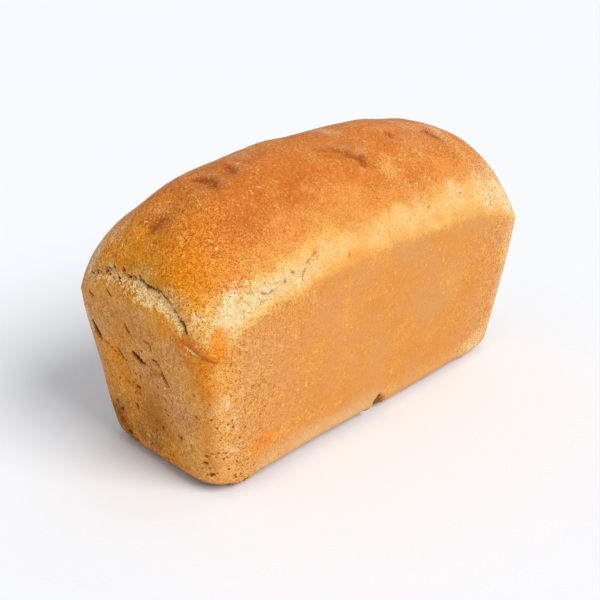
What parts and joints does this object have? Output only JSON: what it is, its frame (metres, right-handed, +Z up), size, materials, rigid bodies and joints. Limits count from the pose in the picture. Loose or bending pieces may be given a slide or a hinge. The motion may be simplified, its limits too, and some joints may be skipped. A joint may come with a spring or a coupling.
{
  "type": "tin loaf",
  "caption": "Whole uncut loaf of bread baked in a long open tin: straight tapered walls, flat base, and a domed top crust with a torn crack across each end.",
  "frame": {"origin": "under the middle of the loaf, on the flat underside that it stands on", "axes": "+X along the loaf, +Y across it, +Z up"},
  "size_m": [0.2206, 0.0956, 0.1305],
  "materials": {
    "crust": "matt golden-brown bread crust, paler where the dough has stretched over the tin's rim"
  },
  "bodies": {
    "root": {"loaf": "crust"}
  },
  "joints": []
}
